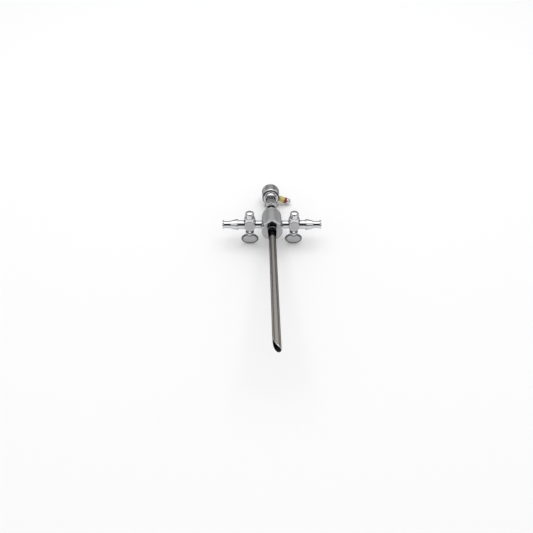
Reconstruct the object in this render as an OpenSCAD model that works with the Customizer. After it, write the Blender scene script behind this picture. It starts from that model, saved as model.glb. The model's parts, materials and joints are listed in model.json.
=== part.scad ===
// Rigid endoscope sheath with a turning two-stopcock manifold and a lever lock.
// Every piece is drawn about the sheath's own axis: +Y runs along it to the rear, +Z is up,
// and the stopcock arms cross it along X. at_rest() then stands the instrument on a table,
// on its two stopcock keys and the lower edge of its lock ring.

/* [Sheath tube] */
// Outer diameter of the sheath tube
tube_od = 5.8; // [5.4:0.1:6]
// Bore that the endoscope slides through
tube_id = 5.2; // [4.6:0.1:5.2]
// Distance from the arm axis forward to the tube's tip
tip_reach = 148.2; // [100:0.1:200]
// Axial length of the side opening at the tip
tip_bevel = 9.8; // [4:0.1:12]
// Roll of the sheath's tip against the manifold
sheath_roll = 10; // [-30:1:30]

/* [Manifold drum] */
// Diameter of the drum at its front end
drum_front_d = 18.6; // [18:0.1:22]
// Diameter of the drum at its rear end
drum_rear_d = 16.4; // [16:0.1:18]
// Front face of the polished flange, forward of the arm axis
drum_front = 10; // [9.5:0.1:14]
// Rear face of the drum, behind the arm axis
drum_rear = 13.9; // [13:0.1:18]
// Running clearance between parts that turn in each other
run_gap = 0.05; // [0.02:0.01:0.08]

/* [Stopcocks] */
// Distance from the sheath axis to each stopcock's plug axis
cock_x = 18.7; // [18.5:0.1:21]
// Greatest diameter of the stopcock body
cock_d = 11; // [10.8:0.1:11.6]
// Diameter of the polished disc on the body's flat faces
disc_d = 9.3; // [8:0.1:9.6]
// Half the distance between the two disc faces
disc_y = 3.8; // [3.6:0.1:4.2]
// Height of the body above and below the arm axis
cock_h = 7.1; // [6.8:0.1:7.4]
// Diameter of the domed cap nut
cap_d = 7.3; // [6.8:0.1:7.5]
// Top of the cap nut above the arm axis
cap_top = 12.5; // [12:0.1:14]
// Width of the oval key
key_w = 14.6; // [12:0.1:16]
// Height of the oval key
key_h = 10; // [8:0.1:10.2]
// Thickness of the key plate
key_t = 1.8; // [1.4:0.1:2.4]
// Lowest point of the key below the arm axis
key_drop = 19; // [18.8:0.1:20]
// Bore of the fluid path
flow_d = 2.6; // [1.8:0.1:2.8]

/* [Luer outlets] */
// Distance from the sheath axis to each Luer mouth
luer_reach = 41.7; // [40:0.1:46]
// Distance across the Luer lugs
lug_d = 7.8; // [7.7:0.1:7.8]
// Diameter of the female taper at its mouth
luer_mouth_d = 4.3; // [4.27:0.01:4.32]
// Depth of the female taper
luer_depth = 7.5; // [7.5:0.1:9]

/* [Rear socket and lock] */
// Front rim of the rear cup, behind the arm axis
cup_front = 25; // [23:0.5:26]
// Diameter of the rear cup
cup_d = 12.2; // [11:0.1:13]
// Front face of the lock ring, behind the arm axis
lock_front = 46.4; // [46.2:0.1:46.6]
// Rear face of the lock ring
lock_rear = 57.4; // [57.2:0.1:58]
// Diameter of the lock ring
lock_d = 15.8; // [15.6:0.1:17]
// Bore of the socket that takes the endoscope's cone
socket_d = 8.6; // [8:0.1:8.6]
// Distance from the axis to the lever's tip
lever_reach = 19.4; // [19:0.1:24]
// Diameter of the lever's coloured bands
lever_d = 5.2; // [4.4:0.1:5.4]
// Angle of the locked lever below the right arm
lever_roll = 20; // [-30:1:30]
// Turn of the lock lever from locked to open
lock_turn = 60; // [45:1:60]

/* [Hidden] */
$fn = 64;
LEFT = -1;
RIGHT = 1;
// Overshoot that carries a cut clear of the face it opens
cut = 1;

tube_r = tube_od / 2;
bore_r = tube_id / 2;
flow_r = flow_d / 2;

// Resting attitude: the line from the keys' lower rear edges to the lock ring's lower rear edge
lock_r = lock_d / 2;
rest_tilt = atan2(key_drop - lock_r, lock_rear - key_t / 2);
function rest_y(y, z) = y * cos(rest_tilt) + z * sin(rest_tilt);
function rest_z(y, z) = z * cos(rest_tilt) - y * sin(rest_tilt);
tip_low = -tube_r * sin(sheath_roll);
rest_front = rest_y(-tip_reach, tip_low);
rest_rear = rest_y(lock_rear - 0.5, lock_r);
rest_shift = -(rest_front + rest_rear) / 2;
rest_lift = -rest_z(lock_rear, -lock_r);

// Stations along the sheath axis
flange_t = 1.4;
washer_t = 0.35;
drum_face = -drum_front + flange_t + washer_t + run_gap;
spindle_r = 5;
thread_r = 4.2;
nut_front = drum_rear + run_gap + washer_t;
nut_rear = nut_front + 3;
cup_rear = cup_front + 8.5;
cup_recess = 4.5;
hub_flange_front = 44.2;
hub_flange_rear = 45.2;
hub_flange_r = 6.6;
seat_front = 46;
socket_seal_y = 48;
journal_r = 5.6;
friction_t = lock_front - hub_flange_rear - run_gap;
ring_shoulder = 54.8;
clip_front = 55.1;
clip_t = 0.8;
clip_r = 6.3;
cover_t = 1;
hub_end = lock_rear - cover_t - 0.2;
lever_y = 49.4;
stop_y = 53.6;
stop_at = 38;
stop_r = 0.75;
seal_r = 0.52;
seal_y = 5.2;
tube_rear = -3;
neck_front = drum_rear - 4;
hub_rear = nut_rear - 1.4;

// Lever: stem, two bands and a domed tip
lever_r = lever_d / 2;
lever_stem_r = 1.4;
band_from = lock_r + 0.3;
band_split = lever_reach - 6.4;
band_to = lever_reach - 3.9;

// Arm tubes, outlet tubes and Luer connectors, as distances out from the sheath axis
arm_r = 3.2;
arm_from = 7.4;
arm_to = cock_x - 4.2;
outlet_r = 3.55;
outlet_from = cock_x + 4.2;
cone_from = cock_x + 9.9;
cone_r_big = 4.6;
cone_to = cone_from + 6;
stub_r = 2.9;
lug_t = 1.3;

// Stopcock plug, its tang below and its threaded stem above, and the hollow in the cap nut
tang_r = 1.4;
tang_h = 2.4;
stem_r = 1.5;
collar_top = -cock_h - run_gap;
collar_t = 0.9;
cap_low = cock_h + run_gap;
cavity_r = 2.8;
cavity_top = cap_low + 1.3;
stem_top = cap_low + 2.8;

// Plug taper, the same in the body and, less the clearance, on the plug
plug_low_r = 2.95;
plug_top_r = 2.45;

function cone_r(at) = plug_low_r + (plug_top_r - plug_low_r) * (at + cock_h) / (2 * cock_h);
function drum_r(y) =
    (drum_front_d + (drum_rear_d - drum_front_d) * (y + drum_front) / (drum_rear + drum_front)) / 2;

// Stands the instrument on the table
module at_rest()
    translate([0, rest_shift, rest_lift])
    rotate([-rest_tilt, 0, 0])
    children();

// Turns a profile of [radius, station] points about the sheath axis
module turned(profile)
    rotate([-90, 0, 0])
    rotate_extrude()
    polygon(profile);

// Turns a profile of [radius, height] points about a stopcock's plug axis
module turned_plug(side, profile)
    translate([side * cock_x, 0, 0])
    rotate_extrude()
    polygon(profile);

// Turns a profile of [radius, distance out] points about the arm axis
module turned_arm(side, profile)
    rotate([0, side * 90, 0])
    rotate_extrude()
    polygon(profile);

// A hole along the sheath axis
module axial_hole(r, from, to)
    translate([0, from, 0])
    rotate([-90, 0, 0])
    cylinder(r = r, h = to - from);

// A hole along the arm axis
module arm_hole(side, r, from, to)
    rotate([0, side * 90, 0])
    translate([0, 0, from])
    cylinder(r = r, h = to - from);

// Places children on the sheath's radius that leaves the top by an angle, at a station
module on_radius(angle, y)
    translate([0, y, 0])
    rotate([0, angle, 0])
    children();

// A ring of round section, seated in a groove
module seal(y, mid_r)
    translate([0, y, 0])
    rotate([-90, 0, 0])
    rotate_extrude()
    translate([mid_r, 0])
    circle(r = seal_r);

// ---------------------------------------------------------------- sheath

// The tip's side profile is a quarter of an ellipse, from the opening's heel to the nose
module sheath_tube() {
    heel = -tip_reach + tip_bevel;
    side = tube_r + cut;
    across = tube_r + bore_r;
    color("dimgray")
    at_rest()
    rotate([0, sheath_roll, 0])
    difference() {
        axial_hole(tube_r, -tip_reach, tube_rear);
        axial_hole(bore_r, -tip_reach - cut, tube_rear + cut);
        translate([0, 0, -side])
            linear_extrude(2 * side)
            polygon(concat(
                [[-side, heel]],
                [for (t = [0 : 6 : 90]) [tube_r - across * cos(t), heel - tip_bevel * sin(t)]],
                [[side, -tip_reach], [side, -tip_reach - cut], [-side, -tip_reach - cut]]
            ));
    }
}

module front_ferrule() {
    root_r = 3.75;
    length = 10.8;
    root_length = 2.2;
    front = drum_front + length;
    lip = 0.12;
    color("dimgray")
    at_rest()
    turned([
        [tube_r, -drum_front], [root_r, -drum_front], [root_r, -drum_front - root_length],
        [root_r - 2 * lip, -drum_front - root_length - 0.8], [tube_r + 3 * lip, -front + 1],
        [tube_r + lip, -front], [tube_r, -front]
    ]);
}

module hub_spindle() {
    flange_r = drum_front_d / 2;
    dish_depth = 0.35;
    dish_from = 4.6;
    dish_to = 7.9;
    groove_r = 3.9;
    groove_w = 1.2;
    // Half the length of the waist that leads water round to the four cross holes
    waist_half = 2;
    color("lightgray")
    at_rest()
    difference() {
        union() {
            turned([
                [0, -drum_front + dish_depth], [dish_from, -drum_front + dish_depth],
                [dish_to, -drum_front], [flange_r - 0.75, -drum_front],
                [flange_r - 0.1, -drum_front + 0.6],
                [flange_r - 0.1, -drum_front + flange_t - 0.15],
                [flange_r - 0.25, -drum_front + flange_t],
                [spindle_r, -drum_front + flange_t], [spindle_r, drum_rear - 1.2],
                [thread_r, drum_rear - 1], [thread_r, hub_rear], [0, hub_rear]
            ]);
            axial_hole(groove_r, -drum_front, 0);
        }
        axial_hole(bore_r, -drum_front - cut, nut_rear);
        axial_hole(tube_r, -drum_front - cut, tube_rear);
        axial_hole(tube_r, neck_front, nut_rear);
        for (y = [-seal_y, seal_y])
            difference() {
                axial_hole(spindle_r + cut, y - groove_w / 2, y + groove_w / 2);
                axial_hole(groove_r, y - groove_w, y + groove_w);
            }
        difference() {
            axial_hole(spindle_r + cut, -waist_half, waist_half);
            axial_hole(groove_r, -2 * waist_half, 2 * waist_half);
        }
        for (angle = [45, 135])
            rotate([0, angle, 0])
            cylinder(r = flow_r, h = 3 * spindle_r, center = true);
    }
}

module spindle_seal(y) {
    color("black")
    at_rest()
    seal(y, spindle_r - seal_r - 0.02);
}

module front_thrust_washer() {
    color("black")
    at_rest()
    difference() {
        axial_hole(drum_r(-drum_front) - 0.5, -drum_front + flange_t, drum_face - run_gap);
        axial_hole(spindle_r, -drum_front, 0);
    }
}

module rear_thrust_washer() {
    color("black")
    at_rest()
    difference() {
        axial_hole(drum_rear_d / 2 - 0.8, drum_rear + run_gap, nut_front);
        axial_hole(thread_r, drum_rear - cut, nut_front + cut);
    }
}

module rear_nut() {
    rim_r = drum_rear_d / 2 - 0.25;
    color("silver")
    at_rest()
    turned([
        [thread_r, nut_front], [rim_r - 0.2, nut_front], [rim_r, nut_front + 0.2],
        [rim_r - 0.35, nut_front + 1], [rim_r - 1.5, nut_front + 1.9],
        [thread_r + 0.4, nut_rear - 0.3], [tube_r + 0.7, nut_rear], [tube_r, nut_rear],
        [tube_r, hub_rear], [thread_r, hub_rear]
    ]);
}

module neck_tube() {
    color("silver")
    at_rest()
    difference() {
        axial_hole(tube_r, neck_front, cup_rear - 1);
        axial_hole(bore_r, neck_front - cut, cup_rear);
    }
}

// ---------------------------------------------------------------- rear socket

module rear_cup() {
    rim_r = cup_d / 2;
    recess_r = 3.85;
    color("lightgray")
    at_rest()
    turned([
        [tube_r, cup_front + cup_recess], [recess_r, cup_front + cup_recess],
        [recess_r, cup_front + 0.4], [recess_r + 0.4, cup_front], [rim_r - 0.7, cup_front],
        [rim_r, cup_front + 0.6], [rim_r, cup_front + 4], [rim_r - 0.35, cup_front + 6.6],
        [rim_r - 0.75, cup_rear], [tube_r, cup_rear]
    ]);
}

module socket_hub() {
    seat_r = socket_d / 2;
    waist_r = 4.35;
    waist_y = hub_flange_front - 1.8;
    color("lightgray")
    at_rest()
    difference() {
        turned([
            [bore_r, cup_rear], [cup_d / 2 - 0.75, cup_rear], [cup_d / 2 - 1.2, cup_rear + 2.2],
            [waist_r + 0.35, waist_y - 3.4], [waist_r + 0.1, waist_y - 1.4], [waist_r, waist_y],
            [waist_r + 0.25, waist_y + 0.8], [waist_r + 0.75, hub_flange_front],
            [hub_flange_r - 0.35, hub_flange_front], [hub_flange_r, hub_flange_front + 0.35],
            [hub_flange_r, hub_flange_rear], [journal_r, hub_flange_rear],
            [journal_r, clip_front], [clip_r - 1.1, clip_front],
            [clip_r - 1.1, clip_front + clip_t], [journal_r, clip_front + clip_t],
            [journal_r, hub_end - 0.3], [journal_r - 0.3, hub_end],
            [seat_r + 0.3, hub_end], [seat_r, hub_end - 0.3], [seat_r, seat_front],
            [bore_r, seat_front - 3]
        ]);
        difference() {
            axial_hole(seat_r + 0.62, socket_seal_y - 0.6, socket_seal_y + 0.6);
            axial_hole(seat_r - cut, socket_seal_y - cut, socket_seal_y + cut);
        }
        on_radius(stop_at, stop_y)
            translate([0, 0, seat_r + 0.4])
            cylinder(r = stop_r, h = journal_r);
    }
}

module socket_seal_ring() {
    section_r = 0.27;
    color("black")
    at_rest()
    translate([0, socket_seal_y, 0])
    rotate([-90, 0, 0])
    rotate_extrude()
    translate([socket_d / 2 + 0.02 + section_r, 0])
    circle(r = section_r);
}

module friction_washer() {
    rim_r = lock_r - 0.35;
    color("black")
    at_rest()
    turned([
        [journal_r, hub_flange_rear], [hub_flange_r + 0.1, hub_flange_rear],
        [rim_r, hub_flange_rear + 0.9], [rim_r, hub_flange_rear + friction_t],
        [journal_r, hub_flange_rear + friction_t]
    ]);
}

module stop_pin() {
    color("gray")
    at_rest()
    on_radius(stop_at, stop_y)
    translate([0, 0, socket_d / 2 + 0.4])
    cylinder(r = stop_r, h = lock_r - 1 - socket_d / 2 - 0.4);
}

module retaining_ring() {
    color("gray")
    at_rest()
    difference() {
        axial_hole(clip_r, clip_front, clip_front + clip_t);
        axial_hole(clip_r - 1.1, clip_front - cut, clip_front + clip_t + cut);
        on_radius(180, clip_front + clip_t / 2)
            translate([-1.2, -clip_t, 0])
            cube([2.4, 2 * clip_t, clip_r + cut]);
    }
}

module wave_washer() {
    color("gray")
    at_rest()
    difference() {
        axial_hole(clip_r, ring_shoulder + run_gap, clip_front);
        axial_hole(journal_r, ring_shoulder - cut, clip_front + cut);
    }
}

// ---------------------------------------------------------------- lock ring and lever

// The sector of a ring that a slot or a shallow land takes out of the lock ring
module ring_sector(inner_r, outer_r, from, to, y, width)
    translate([0, y - width / 2, 0])
    rotate([-90, 0, 0])
    rotate([0, 0, from - 90])
    rotate_extrude(angle = to - from)
    translate([inner_r, 0])
    square([outer_r - inner_r, width]);

module lock_ring() {
    slot_w = 2 * stop_r + 0.2;
    slot_play = 2 + asin(stop_r / journal_r);
    land = 0.45;
    land_from = 21;
    land_to = 78;
    land_front = 50;
    line = 0.3;
    color("silver")
    at_rest()
    difference() {
        turned([
            [journal_r + run_gap, lock_front], [lock_r - 0.7, lock_front],
            [lock_r, lock_front + 0.8], [lock_r, lock_rear - 0.5], [lock_r - 0.5, lock_rear],
            [clip_r + 0.9, lock_rear], [clip_r + 0.9, lock_rear - cover_t],
            [clip_r + 0.2, lock_rear - cover_t], [clip_r + 0.2, ring_shoulder],
            [journal_r + run_gap, ring_shoulder]
        ]);
        ring_sector(journal_r - cut, lock_r + cut, stop_at - slot_play,
            stop_at + lock_turn + slot_play, stop_y, slot_w);
        ring_sector(lock_r - land, lock_r + cut, land_from, land_to,
            land_front + lock_d / 2, lock_d);
        on_radius(land_from - 1, lock_front)
            translate([-line / 2, -cut, lock_r - line])
            cube([line, lock_d, cut]);
        on_radius(90 + lever_roll, lever_y)
            translate([0, 0, journal_r + 0.5])
            cylinder(r = lever_stem_r, h = lock_r);
    }
}

module lock_cover() {
    mouth_r = socket_d / 2 + 0.35;
    notch_w = 2.4;
    color("silver")
    at_rest()
    difference() {
        axial_hole(clip_r + 0.9, lock_rear - cover_t, lock_rear);
        axial_hole(mouth_r, lock_rear - 2 * cover_t, lock_rear + cut);
        for (angle = [lever_roll, 180 + lever_roll])
            on_radius(angle, lock_rear)
            translate([-notch_w / 2, -2 * cover_t, 0])
            cube([notch_w, 4 * cover_t, mouth_r + 1.1]);
    }
}

// Turns a profile of [radius, distance from the sheath axis] points about the lever's axis
module lever_turned(profile)
    on_radius(90 + lever_roll, lever_y)
    rotate_extrude()
    polygon(profile);

module lever_stem() {
    color("silver")
    at_rest()
    lever_turned([
        [0, journal_r + 0.5], [lever_stem_r, journal_r + 0.5], [lever_stem_r, lock_r - 0.15],
        [lever_stem_r, band_to + 0.8], [0, band_to + 0.8]
    ]);
}

module lever_sleeve(from, to) {
    edge = 0.2;
    at_rest()
    lever_turned([
        [lever_stem_r, from], [lever_r - edge, from], [lever_r, from + edge], [lever_r, to - edge],
        [lever_r - edge, to], [lever_stem_r, to]
    ]);
}

module lever_band_yellow() {
    color("khaki")
    lever_sleeve(band_from, band_split);
}

module lever_band_red() {
    color("firebrick")
    lever_sleeve(band_split, band_to);
}

module lever_tip() {
    dome = lever_reach - band_to;
    color("silver")
    at_rest()
    lever_turned(concat(
        [[0, band_to + 0.8], [lever_stem_r, band_to + 0.8], [lever_stem_r, band_to],
         [lever_r - 0.3, band_to], [lever_r - 0.1, band_to + 0.3]],
        [for (a = [0 : 10 : 90])
            [(lever_r - 0.1) * cos(a), lever_reach - (dome - 1.4) * (1 - sin(a))]]
    ));
}

// ---------------------------------------------------------------- manifold

module manifold_drum() {
    front_r = drum_r(drum_face);
    rear_r = drum_r(drum_rear);
    color("darkgray")
    at_rest()
    difference() {
        turned([
            [spindle_r + run_gap, drum_face], [front_r - 0.25, drum_face],
            [front_r, drum_face + 0.25], [rear_r, drum_rear - 0.5], [rear_r - 0.5, drum_rear],
            [spindle_r + run_gap, drum_rear]
        ]);
        for (side = [LEFT, RIGHT]) {
            arm_hole(side, flow_r, 0, drum_front_d);
            arm_hole(side, arm_r, arm_from, drum_front_d);
        }
    }
}

module arm_tube(side) {
    color("gainsboro")
    at_rest()
    difference() {
        arm_hole(side, arm_r, arm_from, arm_to);
        arm_hole(side, flow_r, arm_from - cut, arm_to + cut);
    }
}

// Stopcock body: a barrel with sloping shoulders, crossed by a flat-faced round boss
module cock_body(side) {
    waist_r = cock_d / 2;
    neck_r = 3.6;
    top_r = cap_d / 2 + 0.65;
    color("gainsboro")
    at_rest()
    difference() {
        union() {
            intersection() {
                turned_plug(side, [
                    [0, -cock_h], [neck_r - 0.3, -cock_h], [neck_r, -cock_h + 0.3],
                    [neck_r + 0.15, -cock_h + 1.1], [neck_r + 0.7, -cock_h + 2.2],
                    [waist_r - 0.5, -cock_h + 4.2], [waist_r, 0], [waist_r - 0.2, cock_h - 5],
                    [waist_r - 0.6, cock_h - 3], [top_r + 0.15, cock_h - 1],
                    [top_r, cock_h - 0.3], [top_r - 0.3, cock_h], [0, cock_h]
                ]);
                translate([side * cock_x, 0, 0])
                    cube([2 * waist_r + cut, 2 * disc_y - 0.6, 2 * cock_h + cut], center = true);
            }
            translate([side * cock_x, -disc_y, 0])
                rotate([-90, 0, 0])
                rotate_extrude()
                polygon([
                    [0, 0], [disc_d / 2 - 0.3, 0], [disc_d / 2, 0.3],
                    [disc_d / 2, 2 * disc_y - 0.3], [disc_d / 2 - 0.3, 2 * disc_y],
                    [0, 2 * disc_y]
                ]);
        }
        translate([side * cock_x, 0, -cock_h])
            cylinder(r1 = plug_low_r, r2 = plug_top_r, h = 2 * cock_h);
        arm_hole(side, flow_r, cock_x - cock_d, cock_x + cock_d);
        arm_hole(side, arm_r, arm_to - 3, arm_to);
        arm_hole(side, outlet_r, outlet_from, outlet_from + 3);
    }
}

module outlet_tube(side) {
    color("gainsboro")
    at_rest()
    difference() {
        arm_hole(side, outlet_r, outlet_from, cone_from);
        arm_hole(side, flow_r, outlet_from - cut, cone_from + cut);
    }
}

// Female Luer-lock outlet: a turned cone, a neck and two thread lugs, with a 6% taper inside
module luer_connector(side) {
    taper_r = luer_mouth_d / 2 - 0.03 * luer_depth;
    lug_from = luer_reach - lug_t;
    color("gainsboro")
    at_rest()
    difference() {
        union() {
            turned_arm(side, [
                [0, cone_from], [outlet_r, cone_from], [cone_r_big - 0.25, cone_from],
                [cone_r_big, cone_from + 0.35], [cone_r_big - 0.05, cone_from + 0.8],
                [stub_r + 0.45, cone_to], [stub_r, cone_to + 0.25], [stub_r, lug_from - 0.4],
                [stub_r + 0.2, luer_reach], [0, luer_reach]
            ]);
            intersection() {
                turned_arm(side, [
                    [0, lug_from], [stub_r, lug_from], [lug_d / 2, lug_from + 0.55],
                    [lug_d / 2, luer_reach - 0.3], [stub_r, luer_reach], [0, luer_reach]
                ]);
                translate([side * luer_reach, 0, 0])
                    cube([4 * lug_t, 5.4, lug_d + cut], center = true);
            }
        }
        arm_hole(side, flow_r, cone_from - cut, luer_reach);
        rotate([0, side * 90, 0])
            translate([0, 0, luer_reach - luer_depth])
            cylinder(r1 = taper_r, r2 = luer_mouth_d / 2, h = luer_depth);
    }
}

// ---------------------------------------------------------------- stopcock plugs

module plug(side) {
    color("silver")
    at_rest()
    difference() {
        turned_plug(side, [
            [0, collar_top - tang_h], [tang_r, collar_top - tang_h], [tang_r, collar_top],
            [cone_r(-cock_h) - run_gap, collar_top], [cone_r(cock_h) - run_gap, cock_h - 0.2],
            [stem_r, cock_h - 0.2], [stem_r, stem_top], [0, stem_top]
        ]);
        arm_hole(side, flow_r, cock_x - cock_d, cock_x + cock_d);
    }
}

// Key: a collar and neck on an oval plate that lies in line with the flow when open
module key(side) {
    collar_r = 3.6;
    neck_r = 2.3;
    neck_low = collar_top - collar_t - 3;
    mid = key_h / 2 - key_drop;
    color("silver")
    at_rest()
    translate([side * cock_x, 0, 0])
    difference() {
        union() {
            rotate_extrude()
                polygon([
                    [0, neck_low], [neck_r - 0.4, neck_low], [neck_r, neck_low + 1.3],
                    [neck_r, neck_low + 2.5],
                    [collar_r - 0.8, collar_top - collar_t - 0.15],
                    [collar_r, collar_top - collar_t + 0.15], [collar_r, collar_top - 0.2],
                    [collar_r - 0.2, collar_top], [0, collar_top]
                ]);
            translate([0, key_t / 2, mid])
                rotate([90, 0, 0])
                linear_extrude(key_t)
                oval(key_w / 2, key_h / 2);
        }
        translate([0, 0, collar_top - tang_h])
            cylinder(r = tang_r, h = tang_h + cut);
    }
}

// An oval of the given half axes, its outline an ellipse in even steps
module oval(half_w, half_h) {
    steps = 72;
    polygon([for (i = [0 : steps - 1])
        [half_w * cos(i * 360 / steps), half_h * sin(i * 360 / steps)]]);
}

module washer(side) {
    color("silver")
    at_rest()
    turned_plug(side, [
        [stem_r, cap_low], [cavity_r - 0.1, cap_low], [cavity_r - 0.1, cap_low + 0.3],
        [stem_r, cap_low + 0.3]
    ]);
}

module disc_spring(side) {
    low = cap_low + 0.3;
    color("gray")
    at_rest()
    turned_plug(side, [
        [cavity_r - 0.15, low], [cavity_r - 0.15, low + 0.3], [stem_r, low + 0.95],
        [stem_r, low + 0.65]
    ]);
}

// Cap nut: a cylinder that ends in a low dome, hollow underneath for the spring
module cap_nut(side) {
    r = cap_d / 2;
    dome_low = cap_top - 1.9;
    dome_h = cap_top - dome_low;
    color("gainsboro")
    at_rest()
    turned_plug(side, concat(
        [[cavity_r, cap_low], [r - 0.2, cap_low], [r, cap_low + 0.2], [r, dome_low - 0.3],
         [r - 0.14, dome_low - 0.15], [r, dome_low]],
        [for (a = [7.5 : 7.5 : 90]) [r * cos(a), dome_low + dome_h * sin(a)]],
        [[0, stem_top], [stem_r, stem_top], [stem_r, cavity_top], [cavity_r, cavity_top]]
    ));
}

// ---------------------------------------------------------------- assembly

sheath_tube();
front_ferrule();
hub_spindle();
spindle_seal(-seal_y);  // front_seal_ring
spindle_seal(seal_y);  // rear_seal_ring
front_thrust_washer();
rear_thrust_washer();
rear_nut();
neck_tube();
rear_cup();
socket_hub();
socket_seal_ring();
friction_washer();
stop_pin();
retaining_ring();
wave_washer();
lock_ring();
lock_cover();
lever_stem();
lever_band_yellow();
lever_band_red();
lever_tip();
manifold_drum();
arm_tube(LEFT);  // left_arm_tube
cock_body(LEFT);  // left_cock_body
outlet_tube(LEFT);  // left_outlet_tube
luer_connector(LEFT);  // left_luer_connector
plug(LEFT);  // left_plug
key(LEFT);  // left_key
washer(LEFT);  // left_washer
disc_spring(LEFT);  // left_disc_spring
cap_nut(LEFT);  // left_cap_nut
arm_tube(RIGHT);  // right_arm_tube
cock_body(RIGHT);  // right_cock_body
outlet_tube(RIGHT);  // right_outlet_tube
luer_connector(RIGHT);  // right_luer_connector
plug(RIGHT);  // right_plug
key(RIGHT);  // right_key
washer(RIGHT);  // right_washer
disc_spring(RIGHT);  // right_disc_spring
cap_nut(RIGHT);  // right_cap_nut
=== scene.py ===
"""Looks for a rigid endoscope sheath with two stopcocks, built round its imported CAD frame.

Shapes are made in millimetres in the sheath's own frame: Y runs along the tube to the rear,
Z is up and X runs along the stopcock arms. Turned pieces take their outline from the CAD node
that they stand for, so they follow the CAD sizes.
"""
import json
import math

import bmesh
import bpy
import numpy as np
from mathutils import Matrix, Vector


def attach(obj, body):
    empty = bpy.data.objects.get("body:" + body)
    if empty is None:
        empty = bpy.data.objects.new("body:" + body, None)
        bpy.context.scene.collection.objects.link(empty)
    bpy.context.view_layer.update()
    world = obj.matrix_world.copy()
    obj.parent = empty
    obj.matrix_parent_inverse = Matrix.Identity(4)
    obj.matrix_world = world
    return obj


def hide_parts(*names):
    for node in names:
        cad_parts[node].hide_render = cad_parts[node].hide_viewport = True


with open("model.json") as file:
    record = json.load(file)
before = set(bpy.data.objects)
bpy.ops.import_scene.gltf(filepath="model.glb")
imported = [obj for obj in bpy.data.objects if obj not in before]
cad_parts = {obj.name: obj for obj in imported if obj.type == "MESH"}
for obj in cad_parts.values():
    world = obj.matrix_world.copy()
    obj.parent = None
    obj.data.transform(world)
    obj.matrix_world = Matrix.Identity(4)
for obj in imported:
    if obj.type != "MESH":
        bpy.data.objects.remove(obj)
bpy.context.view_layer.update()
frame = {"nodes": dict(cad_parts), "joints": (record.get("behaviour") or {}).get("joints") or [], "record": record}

# ---------------------------------------------------------------- the sheath's frame

MM = 0.001
TINY = 1e-4
SIDES = {"left": -1, "right": 1}
JOINTS = {joint["name"]: joint for joint in frame["joints"]}
BODY_OF = {
    node: body
    for body, nodes in frame["record"]["behaviour"]["bodies"].items()
    for node in nodes
}
SLOT_OF = {part["node"]: part["material_slot"] for part in frame["record"]["subparts"]}


def sheath_frame():
    """The matrix that carries millimetres in the sheath's frame to metres in the row's frame."""
    turn = JOINTS["manifold_turn"]
    along = Vector(turn["axis"]).normalized()
    up = Vector(JOINTS["left_tap_turn"]["axis"]).normalized()
    axes = Matrix((along.cross(up), along, up)).transposed().to_4x4()
    return Matrix.Translation(turn["pos_m"]) @ axes @ Matrix.Scale(MM, 4)


SHEATH = sheath_frame()


def local_points(node, place=SHEATH):
    """The CAD node's vertices, in a frame in millimetres."""
    spots = np.array([v.co for v in frame["nodes"][node].data.vertices], float)
    inverse = np.array(place.inverted())
    return spots @ inverse[:3, :3].T + inverse[:3, 3]


def span(node, axis, place=SHEATH):
    """Lowest and highest place of a CAD node along one axis of a frame."""
    values = local_points(node, place)[:, axis]
    return values.min(), values.max()


def centre(node, axis):
    """Middle of a CAD node along one axis of the sheath's frame."""
    return sum(span(node, axis)) / 2


def inner_radius(node, place):
    """Distance from a frame's Z axis to the nearest vertex of a CAD node."""
    spots = local_points(node, place)
    return np.hypot(spots[:, 0], spots[:, 1]).min()


def outer_radius(node, place):
    """Distance from a frame's Z axis to the farthest vertex of a CAD node."""
    spots = local_points(node, place)
    return np.hypot(spots[:, 0], spots[:, 1]).max()


TUBE_AXIS = SHEATH @ Matrix.Rotation(math.radians(-90), 4, "X")
TAP_X = abs((SHEATH.inverted() @ Vector(JOINTS["left_tap_turn"]["pos_m"])).x)


def arm_axis(side):
    """A frame at the arms' crossing whose Z axis runs out along one arm."""
    return SHEATH @ Matrix.Rotation(math.radians(90 * side), 4, "Y")


def plug_axis(side):
    """The sheath's frame moved to one stopcock's plug."""
    return SHEATH @ Matrix.Translation((side * TAP_X, 0, 0))


def angle_of(node):
    """Angle from the top, towards +X, of a node that stands out from the sheath's axis."""
    spots = local_points(node)
    far = spots[np.argmax(np.hypot(spots[:, 0], spots[:, 2]))]
    return math.degrees(math.atan2(far[0], far[2]))


def angle_of_middle(node):
    """Angle from the top, towards +X, of a node's middle."""
    return math.degrees(math.atan2(centre(node, 0), centre(node, 2)))


LEVER_ANGLE = angle_of("lever_tip")
LEVER_Y = centre("lever_band_yellow", 1)
LEVER_AXIS = (
    SHEATH
    @ Matrix.Translation((0, LEVER_Y, 0))
    @ Matrix.Rotation(math.radians(LEVER_ANGLE), 4, "Y")
)

# ---------------------------------------------------------------- outlines


# Vertices this close to a circle, in millimetres of radius and height, lie on it
SAME_CIRCLE = 0.03


def outline(node, place, least=12):
    """The [radius, height] outline of a turned CAD node about a frame's Z axis.

    Corners are the circles on which at least so many of its vertices lie, which leaves out
    the edges of cross holes."""
    spots = local_points(node, place)
    radii = np.hypot(spots[:, 0], spots[:, 1])
    corners, members, owner = [], [], []
    for spot in zip(radii, spots[:, 2]):
        near = [
            i for i, c in enumerate(corners)
            if abs(c[0] - spot[0]) + abs(c[1] - spot[1]) < SAME_CIRCLE
        ]
        if not near:
            near = [len(corners)]
            corners.append(spot)
            members.append(0)
        members[near[0]] += 1
        owner.append(near[0])
    kept = {i for i, count in enumerate(members) if count >= least}
    sides = set()
    for edge in frame["nodes"][node].data.edges:
        pair = frozenset(owner[v] for v in edge.vertices)
        if len(pair) == 2 and pair <= kept:
            sides.add(pair)
    where = {i: np.array(corners[i]) for i in kept}
    sides = [s for s in sides if not any(lies_between(where, s, i) for i in kept - s)]
    return joined(where, sides)


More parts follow.
